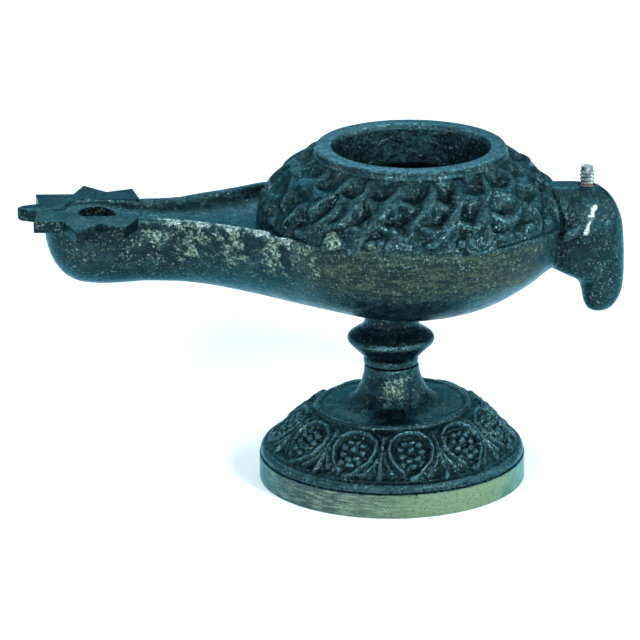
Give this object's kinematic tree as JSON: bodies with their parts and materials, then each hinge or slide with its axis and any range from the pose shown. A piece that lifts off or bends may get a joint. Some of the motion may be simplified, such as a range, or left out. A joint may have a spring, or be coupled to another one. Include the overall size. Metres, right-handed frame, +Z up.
{
  "type": "bird-shaped oil lamp",
  "caption": "Bronze oil lamp in the form of a bird: feathered dome with a filling hole, star-ended nozzle, bent-down head with a threaded stud, on a turned foot with leafwork.",
  "frame": {"origin": "under the middle of the whole lamp, on the plane its foot stands on", "axes": "+Z up, -X along the nozzle, +X towards the bird's head, -Y the side seen in the picture"},
  "size_m": [0.1688, 0.0866, 0.0966],
  "materials": {
    "body_bronze": "dark green-brown bronze patina, worn paler on its raised edges",
    "foot_bronze": "dark green bronze patina, brushed brass-green on its base band",
    "stud_steel": "dull grey, rusty at its root"
  },
  "bodies": {
    "root": {"lamp_body": "body_bronze", "foot": "foot_bronze", "threaded_stud": "stud_steel"}
  },
  "joints": []
}
